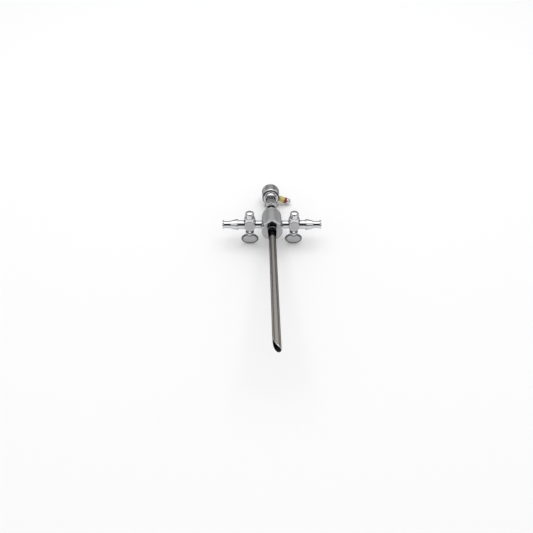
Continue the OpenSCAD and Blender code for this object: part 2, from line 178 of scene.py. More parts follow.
def lies_between(where, side, middle):
    """True if a corner lies on the straight side between two others."""
    a, b = (where[i] for i in side)
    length = np.linalg.norm(b - a)
    share = np.dot(where[middle] - a, b - a) / length**2
    return 0.001 < share < 0.999 and np.linalg.norm(where[middle] - a - share * (b - a)) < 0.01


def joined(where, sides):
    """Walks the sides of an outline from corner to corner, and ends it on the axis if it is open."""
    links = {}
    for side in sides:
        for i in side:
            links.setdefault(i, []).extend(side - {i})
    ends = sorted(i for i in links if len(links[i]) == 1)
    path = [ends[0] if ends else min(links)]
    while True:
        ahead = [i for i in links[path[-1]] if i not in path[-2:]]
        if not ahead or ahead[0] == path[0]:
            break
        path.append(ahead[0])
    profile = [where[i] for i in path]
    if ends:
        profile = [np.array((0, profile[0][1])), *profile, np.array((0, profile[-1][1]))]
    return straightened(profile)


def straightened(profile):
    """Drops the corners that lie on a straight side."""
    kept = []
    for i, corner in enumerate(profile):
        before = corner - profile[i - 1]
        after = profile[(i + 1) % len(profile)] - corner
        bend = abs(before[0] * after[1] - before[1] * after[0])
        if bend > 0.004 * np.linalg.norm(before) * np.linalg.norm(after):
            kept.append(corner)
    return kept


def rounded(profile, radius, steps=3):
    """Rounds the sharp corners of a closed outline, by less where a side is short."""
    profile = [np.array(corner) for corner in profile]
    result = []
    for i, corner in enumerate(profile):
        before = profile[i - 1] - corner
        after = profile[(i + 1) % len(profile)] - corner
        lengths = np.linalg.norm(before), np.linalg.norm(after)
        cosine = -np.dot(before, after) / (lengths[0] * lengths[1])
        bend = math.acos(max(-1, min(1, cosine)))
        if corner[0] < TINY or bend < math.radians(14):
            result.append(corner)
            continue
        reach = min(radius * math.tan(bend / 2), 0.4 * lengths[0], 0.4 * lengths[1])
        start, end = corner + before / lengths[0] * reach, corner + after / lengths[1] * reach
        for step in range(steps + 1):
            t = step / steps
            result.append((1 - t) ** 2 * start + 2 * t * (1 - t) * corner + t * t * end)
    return result


# ---------------------------------------------------------------- mesh making


def made(name, vertices, faces):
    """An object from millimetre points that are already in the row's frame."""
    mesh = bpy.data.meshes.new(name)
    mesh.from_pydata([tuple(v) for v in vertices], [], faces)
    piece = bpy.data.objects.new(name, mesh)
    bpy.context.scene.collection.objects.link(piece)
    work = bmesh.new()
    work.from_mesh(mesh)
    bmesh.ops.recalc_face_normals(work, faces=work.faces)
    work.to_mesh(mesh)
    work.free()
    return piece


def turned(name, profile, place, steps=96, shape=None):
    """A closed solid turned about a frame's Z axis. shape() may change each radius and height."""
    vertices, faces, rings = [], [], []
    for radius, height in profile:
        if radius < TINY:
            rings.append([len(vertices)] * steps)
            vertices.append(place @ Vector((0, 0, height)))
            continue
        rings.append(range(len(vertices), len(vertices) + steps))
        for step in range(steps):
            angle = 2 * math.pi * step / steps
            r, h = shape(radius, height, angle) if shape else (radius, height)
            vertices.append(place @ Vector((r * math.cos(angle), r * math.sin(angle), h)))
    for lower, upper in zip(rings, rings[1:] + rings[:1]):
        for j in range(steps):
            k = (j + 1) % steps
            corners = list(dict.fromkeys((lower[j], lower[k], upper[k], upper[j])))
            if len(corners) > 2:
                faces.append(corners)
    return made(name, vertices, faces)


def combined(piece, operation, *others):
    """Cuts the other pieces from this one, or joins them to it, and removes them."""
    for other in others:
        step = piece.modifiers.new("combine", "BOOLEAN")
        step.operation = operation
        step.solver = "EXACT"
        step.object = other
    settled(piece)
    for other in others:
        bpy.data.objects.remove(other)
    return piece


def settled(piece):
    """Applies every modifier."""
    bpy.context.view_layer.update()
    shown = piece.evaluated_get(bpy.context.evaluated_depsgraph_get())
    mesh = bpy.data.meshes.new_from_object(shown)
    piece.modifiers.clear()
    piece.data = mesh


def rod(r, low, high, place, steps=64, r_high=None):
    """A plain round cutter along a frame's Z axis."""
    r_high = r if r_high is None else r_high
    profile = [(0, low), (r, low), (r_high, high), (0, high)]
    return turned("cutter", profile, place, steps)


def sector(inner, outer, start, end, low, high, flare=0.0):
    """A cutter: part of a ring about the sheath's axis, its mouth flared to break the edges."""
    section = [(inner, low), (outer - flare, low), (outer + flare, low - 2 * flare)]
    section += [(outer + flare, high + 2 * flare), (outer - flare, high), (inner, high)]
    steps = max(2, round((end - start) / 3))
    vertices, faces = [], []
    for step in range(steps + 1):
        share = step / steps
        for radius, height in section:
            grow = math.degrees(2 * flare / outer) if radius > outer else 0
            angle = math.radians(start - grow + (end - start + 2 * grow) * share - 90)
            spot = Vector((radius * math.cos(angle), radius * math.sin(angle), height))
            vertices.append(TUBE_AXIS @ spot)
    count = len(section)
    for step in range(steps):
        for i in range(count):
            j = (i + 1) % count
            a, b = step * count, (step + 1) * count
            faces.append((a + i, a + j, b + j, b + i))
    faces.append(tuple(range(count)))
    faces.append(tuple(steps * count + i for i in range(count)))
    return made("cutter", vertices, faces)


def painted(piece, place, material, test):
    """Gives a second material to the faces whose middle, in a frame, passes the test."""
    piece.data.materials.append(material)
    inverse = place.inverted()
    turn = inverse.to_3x3()
    last = len(piece.data.materials) - 1
    for polygon in piece.data.polygons:
        if test(inverse @ polygon.center, (turn @ polygon.normal).normalized()):
            polygon.material_index = last


def completed(piece, node, sharp=40):
    """Smooth shading, the slot's material unless it has one, and the body that it rides on."""
    piece.data.shade_smooth()
    piece.data.set_sharp_from_angle(angle=math.radians(sharp))
    normals = piece.modifiers.new("normals", "WEIGHTED_NORMAL")
    normals.keep_sharp = True
    if not piece.data.materials:
        piece.data.materials.append(MATERIALS[SLOT_OF[node]])
    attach(piece, BODY_OF[node])


# ---------------------------------------------------------------- materials


# Metals darken towards grazing angles
EDGE_TINT = (0.12, 0.12, 0.125, 1)


class Finish:
    """A Principled material whose patterns are laid out in millimetres in one frame."""

    def __init__(self, name, place=SHEATH, **sockets):
        self.material = bpy.data.materials.new(name)
        self.material.use_nodes = True
        self.tree = self.material.node_tree
        self.shader = self.tree.nodes["Principled BSDF"]
        for socket, value in sockets.items():
            self.shader.inputs[socket.replace("_", " ")].default_value = value
        inverse = place.inverted()
        where = self.tree.nodes.new("ShaderNodeTexCoord")
        self.spot = self.tree.nodes.new("ShaderNodeMapping")
        self.spot.inputs["Location"].default_value = inverse.translation
        self.spot.inputs["Rotation"].default_value = inverse.to_euler()
        self.spot.inputs["Scale"].default_value = inverse.to_scale()
        self.link(where.outputs["Object"], self.spot.inputs["Vector"])

    def link(self, out, into):
        """Joins one node's output to another's input."""
        self.tree.links.new(out, into)

    def noise(self, stretch, detail=2.0, distortion=0.0):
        """Noise that varies once in 1 / stretch millimetres along each axis."""
        scaled = self.tree.nodes.new("ShaderNodeVectorMath")
        scaled.operation = "MULTIPLY"
        scaled.inputs[1].default_value = stretch
        self.link(self.spot.outputs["Vector"], scaled.inputs[0])
        pattern = self.tree.nodes.new("ShaderNodeTexNoise")
        pattern.inputs["Scale"].default_value = 1.0
        pattern.inputs["Detail"].default_value = detail
        pattern.inputs["Distortion"].default_value = distortion
        self.link(scaled.outputs["Vector"], pattern.inputs["Vector"])
        return pattern.outputs["Fac"]

    def spread(self, value, low, high, start=0.3, end=0.7):
        """Maps the middle of a pattern's range to the values that the surface needs."""
        node = self.tree.nodes.new("ShaderNodeMapRange")
        for socket, number in zip(
            ("From Min", "From Max", "To Min", "To Max"), (start, end, low, high)
        ):
            node.inputs[socket].default_value = number
        self.link(value, node.inputs["Value"])
        return node.outputs["Result"]

    def blend(self, share, first, second):
        """A colour that goes from the first to the second with a pattern."""
        node = self.tree.nodes.new("ShaderNodeMix")
        node.data_type = "RGBA"
        self.link(share, node.inputs["Factor"])
        for socket, colour in (("A_Color", first), ("B_Color", second)):
            into = next(s for s in node.inputs if s.identifier == socket)
            if isinstance(colour, tuple):
                into.default_value = (*colour, 1)
            else:
                self.link(colour, into)
        return next(s for s in node.outputs if s.identifier == "Result_Color")

    def math(self, operation, first, second):
        """One arithmetic step on two values, each a number or a node's output."""
        node = self.tree.nodes.new("ShaderNodeMath")
        node.operation = operation
        for socket, value in zip(node.inputs, (first, second)):
            if isinstance(value, (int, float)):
                socket.default_value = value
            else:
                self.link(value, socket)
        return node.outputs["Value"]

    def set(self, socket, value):
        """Drives one of the shader's inputs with a node's output."""
        self.link(value, self.shader.inputs[socket])

    def relief(self, *layers):
        """Bump layers, each a pattern and its depth in millimetres."""
        below = None
        for pattern, depth in layers:
            bump = self.tree.nodes.new("ShaderNodeBump")
            bump.inputs["Strength"].default_value = 1.0
            bump.inputs["Distance"].default_value = depth * MM
            self.link(pattern, bump.inputs["Height"])
            if below is not None:
                self.link(below, bump.inputs["Normal"])
            below = bump.outputs["Normal"]
        self.set("Normal", below)


def polished_steel():
    """Mirror polish with wipe marks, soft waviness and fine scratches."""
    finish = Finish("polished_steel", Metallic=1.0, Specular_Tint=EDGE_TINT)
    marks = finish.noise((0.25, 0.25, 0.25), 3)
    scratches = finish.noise((9, 0.5, 4), 3, 0.6)
    finish.set("Base Color", finish.blend(marks, (0.64, 0.64, 0.66), (0.74, 0.74, 0.75)))
    haze = finish.spread(marks, 0.05, 0.13)
    finish.set("Roughness", finish.math("ADD", haze, finish.spread(scratches, 0, 0.04)))
    finish.relief((finish.noise((0.6, 0.6, 0.6), 1), 0.012), (scratches, 0.0006))
    return finish.material


def satin_steel():
    """Turned satin: fine lines run round the axis."""
    finish = Finish("satin_steel", Metallic=1.0, Specular_Tint=EDGE_TINT)
    lines = finish.noise((0.12, 7, 0.12), 4)
    patches = finish.noise((0.2, 0.2, 0.2), 2)
    finish.set("Base Color", finish.blend(lines, (0.66, 0.66, 0.67), (0.80, 0.80, 0.81)))
    rough = finish.spread(patches, 0.26, 0.36)
    finish.set("Roughness", finish.math("ADD", rough, finish.spread(lines, -0.05, 0.06)))
    finish.relief((lines, 0.004))
    return finish.material


def blasted_steel():
    """Bead-blasted drum: matt, with a fine even grain and faint handling marks."""
    finish = Finish("blasted_steel", Metallic=1.0, Specular_Tint=EDGE_TINT)
    grain = finish.noise((6, 6, 6), 3)
    marks = finish.noise((0.15, 0.1, 0.15), 3, 0.4)
    finish.set("Base Color", finish.blend(marks, (0.64, 0.65, 0.65), (0.74, 0.75, 0.75)))
    finish.set("Roughness", finish.spread(marks, 0.44, 0.34))
    finish.relief((grain, 0.012))
    return finish.material


def tube_steel():
    """Drawn tube: lines run along it, with a brown-grey tint that drifts down its length."""
    finish = Finish("tube_steel", Metallic=1.0, Specular_Tint=EDGE_TINT)
    lines = finish.noise((3.5, 0.03, 3.5), 4)
    drift = finish.noise((0.1, 0.035, 0.1), 2)
    tint = finish.blend(finish.spread(drift, 0, 1), (0.40, 0.36, 0.33), (0.38, 0.37, 0.35))
    worn = finish.blend(finish.spread(lines, 0, 0.35), tint, (0.50, 0.47, 0.45))
    finish.set("Base Color", worn)
    finish.set("Roughness", finish.spread(lines, 0.2, 0.3))
    finish.relief((lines, 0.003))
    return finish.material


def dark_steel():
    """Burnished dark cone."""
    finish = Finish("dark_steel", Metallic=1.0, Specular_Tint=EDGE_TINT)
    lines = finish.noise((0.3, 5, 0.3), 3)
    finish.set("Base Color", finish.blend(lines, (0.016, 0.017, 0.018), (0.034, 0.035, 0.037)))
    finish.set("Roughness", finish.spread(lines, 0.14, 0.22))
    finish.relief((lines, 0.003))
    return finish.material


def shaded_bore():
    """Inside of the tube: dull, and painted dark as painted shade inside the bore."""
    finish = Finish("shaded_bore", Metallic=1.0)
    shade_mottle = finish.noise((0.5, 0.2, 0.5), 4)
    # Near-black base colour: painted shade inside the bore
    finish.set("Base Color", finish.blend(shade_mottle, (0.03, 0.03, 0.028), (0.09, 0.085, 0.08)))
    finish.set("Roughness", finish.spread(shade_mottle, 0.35, 0.55))
    finish.relief((shade_mottle, 0.02))
    return finish.material


def shaded_rim():
    """Darker mirror along the keys' edges and on the stopcocks' rims and undersides: painted shade and painted
    dark reflection.
    """
    finish = Finish("shaded_rim", Metallic=1.0, Specular_Tint=EDGE_TINT)
    marks = finish.noise((1.2, 1.2, 1.2), 3)
    # Dark base colour: painted shade and painted dark reflection
    finish.set("Base Color", finish.blend(marks, (0.13, 0.13, 0.135), (0.22, 0.22, 0.225)))
    finish.set("Roughness", finish.spread(marks, 0.08, 0.18))
    finish.relief((marks, 0.006))
    return finish.material


def turned_face():
    """Flange face: a bright turned satin that still mirrors what stands close to it."""
    finish = Finish("turned_face", Metallic=1.0, Specular_Tint=EDGE_TINT)
    marks = finish.noise((0.5, 0.5, 0.5), 3)
    finish.set("Base Color", finish.blend(marks, (0.35, 0.35, 0.36), (0.44, 0.44, 0.45)))
    finish.set("Roughness", finish.spread(marks, 0.14, 0.2))
    finish.relief((marks, 0.01))
    return finish.material


def shaded_braze():
    """Silver braze, dulled, and painted dark: painted shade where the tubes join the drum and the barrels."""
    finish = Finish("shaded_braze", Metallic=1.0)
    shade_mottle = finish.noise((2, 2, 2), 4)
    # Dark base colour: painted shade at the joints
    finish.set("Base Color", finish.blend(shade_mottle, (0.07, 0.07, 0.07), (0.20, 0.20, 0.19)))
    finish.set("Roughness", finish.spread(shade_mottle, 0.25, 0.4))
    finish.relief((shade_mottle, 0.02))
    return finish.material


def spring_steel():
    """Ground spring plate."""
    finish = Finish("spring_steel", Metallic=1.0)
    grind = finish.noise((8, 0.6, 0.6), 3)
    finish.set("Base Color", finish.blend(grind, (0.42, 0.42, 0.45), (0.55, 0.55, 0.57)))
    finish.set("Roughness", finish.spread(grind, 0.2, 0.34))
    finish.relief((grind, 0.004))
    return finish.material


def lapped_face():
    """Flat faces of the stopcocks and keys: satin from a fine lap, with a light grain."""
    finish = Finish("lapped_face", Metallic=1.0, Specular_Tint=EDGE_TINT)
    grain = finish.noise((5, 0.5, 9), 4, 0.3)
    patches = finish.noise((0.3, 0.3, 0.3), 2)
    finish.set("Base Color", finish.blend(grain, (0.42, 0.42, 0.43), (0.53, 0.53, 0.54)))
    finish.set("Roughness", finish.spread(patches, 0.3, 0.42))
    finish.relief((grain, 0.006))
    return finish.material


def rubber():
    """Black rubber with a faint bloom."""
    finish = Finish("rubber", Metallic=0.0)
    bloom = finish.noise((2, 2, 2), 4)
    finish.set("Base Color", finish.blend(bloom, (0.018, 0.018, 0.018), (0.032, 0.031, 0.03)))
    finish.set("Roughness", finish.spread(bloom, 0.55, 0.75))
    finish.relief((bloom, 0.01))
    return finish.material


def black_plastic():
    """Black plastic with a fine moulded grain."""
    finish = Finish("black_plastic", Metallic=0.0)
    grain = finish.noise((4, 4, 4), 4)
    finish.set("Base Color", finish.blend(grain, (0.010, 0.010, 0.011), (0.022, 0.022, 0.023)))
    finish.set("Roughness", finish.spread(grain, 0.28, 0.42))
    finish.relief((grain, 0.006))
    return finish.material


def enamel(name, colour, band):
    """A baked enamel band on the lever, worn to metal along its two edges."""
    finish = Finish(name, LEVER_AXIS)
    parts = finish.tree.nodes.new("ShaderNodeSeparateXYZ")
    finish.link(finish.spot.outputs["Vector"], parts.inputs["Vector"])
    low, high = span(band, 2, LEVER_AXIS)
    middle, half = (low + high) / 2, (high - low) / 2
    off = finish.math("ABSOLUTE", finish.math("SUBTRACT", parts.outputs["Z"], middle), 0)
    chips = finish.noise((2.5, 2.5, 2.5), 5)
    edge = finish.math("ADD", off, finish.spread(chips, -0.25, 0.25))
    worn = finish.spread(edge, 0, 1, half - 0.12, half + 0.06)
    cloud = finish.noise((0.8, 0.8, 0.8), 3)
    dark = tuple(0.72 * part for part in colour)
    paint = finish.blend(finish.spread(cloud, 0, 1), dark, colour)
    finish.set("Base Color", finish.blend(worn, paint, (0.55, 0.55, 0.54)))
    finish.set("Metallic", worn)
    finish.set("Roughness", finish.spread(chips, 0.3, 0.45))
    finish.relief((cloud, 0.02), (worn, -0.02))
    return finish.material


MATERIALS = {
    "polished_steel": polished_steel(),
    "satin_steel": satin_steel(),
    "blasted_steel": blasted_steel(),
    "tube_steel": tube_steel(),
    "dark_steel": dark_steel(),
    "spring_steel": spring_steel(),
    "rubber": rubber(),
    "black_plastic": black_plastic(),
    "yellow_band": enamel("yellow_band", (0.58, 0.50, 0.15), "lever_band_yellow"),
    "red_band": enamel("red_band", (0.30, 0.028, 0.008), "lever_band_red"),
}
LAPPED = lapped_face()
BORE_SHADE = shaded_bore()
RIM_SHADE = shaded_rim()
FACE = turned_face()
BRAZE_SHADE = shaded_braze()

# ---------------------------------------------------------------- turned pieces


def turned_piece(node, place, edge=0.12, least=12, steps=96, shape=None):
    """The CAD node's own outline with broken edges, turned in many steps."""
    profile = rounded(outline(node, place, least), edge)
    piece = turned(node + "_fine", profile, place, steps, shape)
    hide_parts(node)
    return piece


# Height of the tube's outline before it is drawn out from the tip's rim to the root
STUB = 10.0


def tip_rim(spots, wall):
    """Angles, in order, and heights of the tube's tip along one of its two walls."""
    on_wall = abs(np.hypot(spots[:, 0], spots[:, 1]) - wall) < 0.05
    rim = spots[on_wall & (spots[:, 2] < spots[:, 2].max() - 1)]
    angles = np.arctan2(rim[:, 1], rim[:, 0])
    order = np.argsort(angles)
    return angles[order], rim[order, 2]


def sheath_tube():
    """Thin-walled tube whose tip follows the CAD tube's curved rim."""
    spots = local_points("sheath_tube", TUBE_AXIS)
    root = spots[:, 2].max()
    inner = inner_radius("sheath_tube", TUBE_AXIS)
    outer = outer_radius("sheath_tube", TUBE_AXIS)
    rims = [tip_rim(spots, wall) for wall in (inner, outer)]
    section = [(inner, STUB), (inner, 0), (outer, 0), (outer, STUB)]

    def curved(radius, height, angle):
        share = (radius - inner) / (outer - inner)
        turn = math.remainder(angle, 2 * math.pi)
        low, high = (np.interp(turn, *rim, period=2 * math.pi) for rim in rims)
        tip = low + (high - low) * share
        return radius, tip + (root - tip) * height / STUB

    piece = turned("sheath_tube_fine", rounded(section, 0.07), TUBE_AXIS, 128, curved)
    piece.data.materials.append(MATERIALS["tube_steel"])
    # The tube's inward faces get the painted shade of the bore
    painted(piece, TUBE_AXIS, BORE_SHADE, lambda c, n: n.x * c.x + n.y * c.y < -0.5)
    painted(
        piece,
        TUBE_AXIS,
        MATERIALS["polished_steel"],
        lambda c, n: c.z < root - STUB and inner + 0.02 < math.hypot(c.x, c.y) < outer - 0.01,
    )
    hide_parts("sheath_tube")
    completed(piece, "sheath_tube")


def hub_spindle():
    """Spindle with its polished dished flange, its seal grooves and four cross holes."""
    piece = turned_piece("hub_spindle", TUBE_AXIS, 0.15, 46)
    reach = outer_radius("front_seal_ring", TUBE_AXIS) + 2
    for angle in (45, 135):
        turn = SHEATH @ Matrix.Rotation(math.radians(angle), 4, "Y")
        combined(piece, "DIFFERENCE", rod(FLOW_R, -reach, reach, turn))
    piece.data.materials.append(MATERIALS["polished_steel"])
    front = span("hub_spindle", 1)[0]
    painted(piece, SHEATH, FACE, lambda c, n: n.y < -0.9 and c.y < front + 0.6)
    completed(piece, "hub_spindle")


FLOW_R = inner_radius("right_arm_tube", arm_axis(1))
ARM_R = outer_radius("right_arm_tube", arm_axis(1))
OUTLET_R = outer_radius("right_outlet_tube", arm_axis(1))
DRUM_R_FRONT = outer_radius("manifold_drum", TUBE_AXIS)


def manifold_drum():
    """Blasted drum with the two bored seats that the arms are brazed into."""
    piece = turned_piece("manifold_drum", TUBE_AXIS, 0.18, 50, 128)
    for side in SIDES.values():
        seat = span("right_arm_tube", 2, arm_axis(1))[0]
        through = rod(FLOW_R, 0, 2 * DRUM_R_FRONT, arm_axis(side))
        combined(piece, "DIFFERENCE", through, rod(ARM_R, seat, 2 * DRUM_R_FRONT, arm_axis(side)))
    completed(piece, "manifold_drum")


def socket_hub():
    """Polished bell with the stop pin's hole."""
    piece = turned_piece("socket_hub", TUBE_AXIS, 0.12, 40)
    pin_place, pin_r, low, _ = stop_pin_place()
    combined(piece, "DIFFERENCE", rod(pin_r, low, 2 * low, pin_place, 32))
    completed(piece, "socket_hub")


def stop_pin_place():
    """The stop pin's own frame, its radius and its two ends."""
    place = (
        SHEATH
        @ Matrix.Translation((0, centre("stop_pin", 1), 0))
        @ Matrix.Rotation(math.radians(angle_of_middle("stop_pin")), 4, "Y")
    )
    low, high = span("stop_pin", 2, place)
    return place, outer_radius("stop_pin", place), low, high


def stop_pin():
    """Pin with rounded ends that limits the lock ring's travel."""
    place, radius, low, high = stop_pin_place()
    profile = [(0, low), (radius, low), (radius, high), (0, high)]
    piece = turned("stop_pin_fine", rounded(profile, 0.15), place, 40)
    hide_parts("stop_pin")
    completed(piece, "stop_pin")


# The lock ring's cuts: depths, angles from the top towards +X, and the stop slot's clearances
LAND_DEPTH = 0.45
LAND_ANGLES = (21, 78)
LAND_FRONT = 50
LINE_DEPTH = 0.3
LINE_ANGLES = (18.6, 21.2)
SLOT_PLAY = 2
SLOT_GAP = 0.1
SLOT_FLARE = 0.12


def lock_ring():
    """Satin ring with the stop slot, a shallow land round it, an index line and the lever's seat."""
    outer = outer_radius("lock_ring", TUBE_AXIS)
    front, rear = span("lock_ring", 1)
    inner = inner_radius("lock_ring", TUBE_AXIS)
    station = centre("stop_pin", 1)
    pin_at = angle_of_middle("stop_pin")
    pin_r = stop_pin_place()[1]
    play = SLOT_PLAY + math.degrees(math.asin(pin_r / inner))
    travel = JOINTS["lock_turn"]["range_deg"][1]
    half = pin_r + SLOT_GAP
    piece = turned_piece("lock_ring", TUBE_AXIS, 0.2, 60, 128)
    slot = sector(
        inner - 1, outer, pin_at - play, pin_at + travel + play,
        station - half, station + half, SLOT_FLARE,
    )
    land = sector(outer - LAND_DEPTH, outer, *LAND_ANGLES, LAND_FRONT, rear + 1)
    line = sector(outer - LINE_DEPTH, outer, *LINE_ANGLES, front - 0.5, rear + 1)
    seat = rod(outer_radius("lever_stem", LEVER_AXIS), inner + 0.5, 2 * outer, LEVER_AXIS, 40)
    combined(piece, "DIFFERENCE", land, line, slot, seat)
    completed(piece, "lock_ring", sharp=30)


NOTCH_DEPTH = 1.1
NOTCH_HALF_ANGLE = 13


def lock_cover():
    """Cover with two notches that take the telescope's pins."""
    outer = outer_radius("lock_cover", TUBE_AXIS)
    inner = inner_radius("lock_cover", TUBE_AXIS)
    front, rear = span("lock_cover", 1)
    section = [(inner, front), (outer, front), (outer, rear), (inner, rear)]
    piece = turned("lock_cover_fine", rounded(section, 0.15), TUBE_AXIS, 96)
    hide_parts("lock_cover")
    roll = LEVER_ANGLE - 90
    for angle in (roll, roll + 180):
        start, end = angle - NOTCH_HALF_ANGLE, angle + NOTCH_HALF_ANGLE
        notch = sector(inner - 1, inner + NOTCH_DEPTH, start, end, front - 1, rear + 1)
        combined(piece, "DIFFERENCE", notch)
    completed(piece, "lock_cover", sharp=30)


# The Luer lugs' half width and length, and the round stub between them
LUG_HALF_WIDTH = 2.7
LUG_LENGTH = 2
LUER_STUB_R = 3.05


def luer_connector(name, side):
    """Outlet cone, neck and mouth; the two lock lugs stand above and below."""
    node = name + "_luer_connector"
    place = arm_axis(side)
    mouth = span(node, 2, place)[1]

    def lugs(radius, height, angle):
        across = abs(math.sin(angle))
        if height < mouth - LUG_LENGTH or radius <= LUER_STUB_R or across < TINY:
            return radius, height
        return min(radius, max(LUER_STUB_R, LUG_HALF_WIDTH / across)), height

    piece = turned_piece(node, place, 0.1, 20, 128, lugs)
    completed(piece, node)


def soft_min(a, b, sharpness=22):
    """The smaller of two radii, with the corner between them eased."""
    return (a**-sharpness + b**-sharpness) ** (-1 / sharpness)


# The stopcock body's round boss, its tapered seat, its shoulders, its necks and its milled flats
DISC_R = 4.65
PLUG_LOW_R = 2.95
PLUG_TOP_R = 2.45
SHOULDER_H = 0.35
LOWER_NECK_R = 3.35
LOWER_NECK_Z = -5.2
UPPER_NECK_R = 4.35
MILL_DEPTH = 0.3


def barrel_radius(height, waist, shoulder):
    """Radius of the stopcock barrel: full at the waist and drawn in more below than above."""
    neck, reach, power = UPPER_NECK_R, shoulder, 2.4
    if height < 0:
        neck, reach, power = LOWER_NECK_R, -LOWER_NECK_Z, 2.2
    share = min(1, abs(height) / reach)
    return neck + (waist - neck) * (1 - share**power)


def cock_body(name, side):
    """Stopcock body: a swelling barrel milled flat front and back, with a raised round boss."""
    node = name + "_cock_body"
    place = plug_axis(side)
    waist, top = span(node, 0, place)[1], span(node, 2, place)[1]
    boss_y = span(node, 1, place)[1]
    shoulder, flat = top - SHOULDER_H, boss_y - MILL_DEPTH
    heights = np.linspace(-shoulder, shoulder, 33)
    curve = [(barrel_radius(h, waist, shoulder), h) for h in heights]
    lower = [(0, -top), (LOWER_NECK_R - SHOULDER_H, -top)]
    upper = [(UPPER_NECK_R - SHOULDER_H, top), (0, top)]
    profile = rounded(lower + curve + upper, 0.3)

    def milled(radius, height, angle):
        across = abs(math.sin(angle))
        return (soft_min(radius, flat / across), height) if across > 0.05 else (radius, height)

    piece = turned(node + "_fine", profile, place, 128, milled)
    facing = place @ Matrix.Rotation(math.radians(-90), 4, "X")
    rim = [(0, -boss_y), (DISC_R, -boss_y), (DISC_R, boss_y), (0, boss_y)]
    boss = turned("boss", rounded(rim, 0.3, 4), facing, 96)
    combined(piece, "UNION", boss)
    bore = rod(PLUG_LOW_R, -top, top, place, 64, PLUG_TOP_R)
    flow = rod(FLOW_R, -2 * top, 2 * top, arm_axis(side) @ Matrix.Translation((0, 0, TAP_X)), 48)
    combined(piece, "DIFFERENCE", bore, flow)
    piece.data.materials.append(MATERIALS["polished_steel"])
    painted(
        piece, place, LAPPED, lambda c, n: abs(n.y) > 0.99 and math.hypot(c.x, c.z) < DISC_R - 0.2
    )
    # The boss's rim and the barrel's underside get the painted shade and dark reflection
    painted(
        piece, place, RIM_SHADE,
        lambda c, n: abs(n.y) < 0.97 and (
            abs(math.hypot(c.x, c.z) - DISC_R) < 0.2 and abs(c.y) > flat - 0.1
            or c.z < -DISC_R
        ),
    )
    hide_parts(node)
    completed(piece, node, sharp=32)


# The key's plate, the plug's end inside it, the border round its lapped face, and its stalk as
# [radius, drop] corners
KEY_H = 10.0
KEY_T = 1.8
TANG_R = 1.4
LAP_INSET = 1.3
KEY_STALK = (
    (0, 3.9), (1.9, 3.9), (2.3, 2.6), (2.3, 1.7), (2.8, 1.05), (3.6, 0.75), (3.6, 0), (0, 0),
)


def key(name, side):
    """Oval key with a full round rim, on a necked collar."""
    node = name + "_key"
    place = plug_axis(side)
    low, high = span(node, 2, place)
    half_w = span(node, 0, place)[1]
    half_t = KEY_T / 2
    half_h = KEY_H / 2
    middle = low + half_h
    steps = 144
    arc = [math.radians(a) for a in range(0, 91, 10)]
    across = [(half_t * (1 - math.cos(a)), half_t * math.sin(a)) for a in arc]
    across.append((half_t + 0.5, half_t))
    across = [(inset, -y) for inset, y in reversed(across)] + across[1:]
    vertices, faces, rows = [], [], []
    for inset, y in across:
        rows.append(len(vertices))
        for step in range(steps):
            angle = 2 * math.pi * step / steps
            x, z = half_w * math.cos(angle), half_h * math.sin(angle)
            normal = Vector((math.cos(angle) / half_w, 0, math.sin(angle) / half_h)).normalized()
            spot = Vector((x, y, middle + z)) - normal * inset
            vertices.append(place @ spot)
    for lower, upper in zip(rows, rows[1:]):
        for j in range(steps):
            k = (j + 1) % steps
            faces.append((lower + j, lower + k, upper + k, upper + j))
    faces.append(tuple(rows[0] + j for j in range(steps)))
    faces.append(tuple(rows[-1] + j for j in range(steps)))
    piece = made(node + "_fine", vertices, faces)
    stalk = [(r, high - drop) for r, drop in KEY_STALK]
    stalk = turned("stalk", rounded(stalk, 0.3, 4), place, 72)
    combined(piece, "UNION", stalk)
    tang_low = span(name + "_plug", 2, place)[0]
    combined(piece, "DIFFERENCE", rod(TANG_R, tang_low, high + 1, place, 40))
    # The key's plate and rim get the painted shade and dark reflection
    piece.data.materials.append(RIM_SHADE)
    face_w, face_h = half_w - LAP_INSET, half_h - LAP_INSET
    painted(
        piece, place, MATERIALS["polished_steel"],
        lambda c, n: c.z > middle + half_h - 0.6 and math.hypot(c.x, c.y) > half_t + 0.1,
    )
    painted(
        piece, place, LAPPED,
        lambda c, n: abs(n.y) > 0.995 and abs(c.y) > half_t - 0.01
        and math.hypot(c.x / face_w, (c.z - middle) / face_h) < 1,
    )
    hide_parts(node)
    completed(piece, node, sharp=32)


# How far a fillet runs into the surface and into the tube that it joins
BRAZE_SINK = 0.06
BRAZE_GRIP = 0.04


def braze(name, side, node, surface, radius, outward, leg=0.45):
    """A concave fillet where a tube along the arm axis meets a surface."""
    steps, arc = 96, 7
    vertices, faces = [], []
    for step in range(steps):
        angle = 2 * math.pi * step / steps
        loop = []
        for i in range(arc):
            t = math.pi / 2 * i / (arc - 1)
            loop.append((radius + leg * (1 - math.cos(t)), leg * (1 - math.sin(t))))
        foot, core = -BRAZE_SINK, radius - BRAZE_GRIP
        loop += [(radius + leg, foot), (core, foot), (core, leg)]
        for ring, rise in loop:
            y, z = ring * math.cos(angle), ring * math.sin(angle)
            x = surface(y, z) + outward * rise
            vertices.append(SHEATH @ Vector((side * x, y, z)))
    count = arc + 3
    for step in range(steps):
        for i in range(count):
            j = (i + 1) % count
            a, b = step * count, (step + 1) % steps * count
            faces.append((a + i, a + j, b + j, b + i))
    piece = made(name, vertices, faces)
    # The fillet gets the braze's painted shade
    piece.data.materials.append(BRAZE_SHADE)
    completed(piece, node)


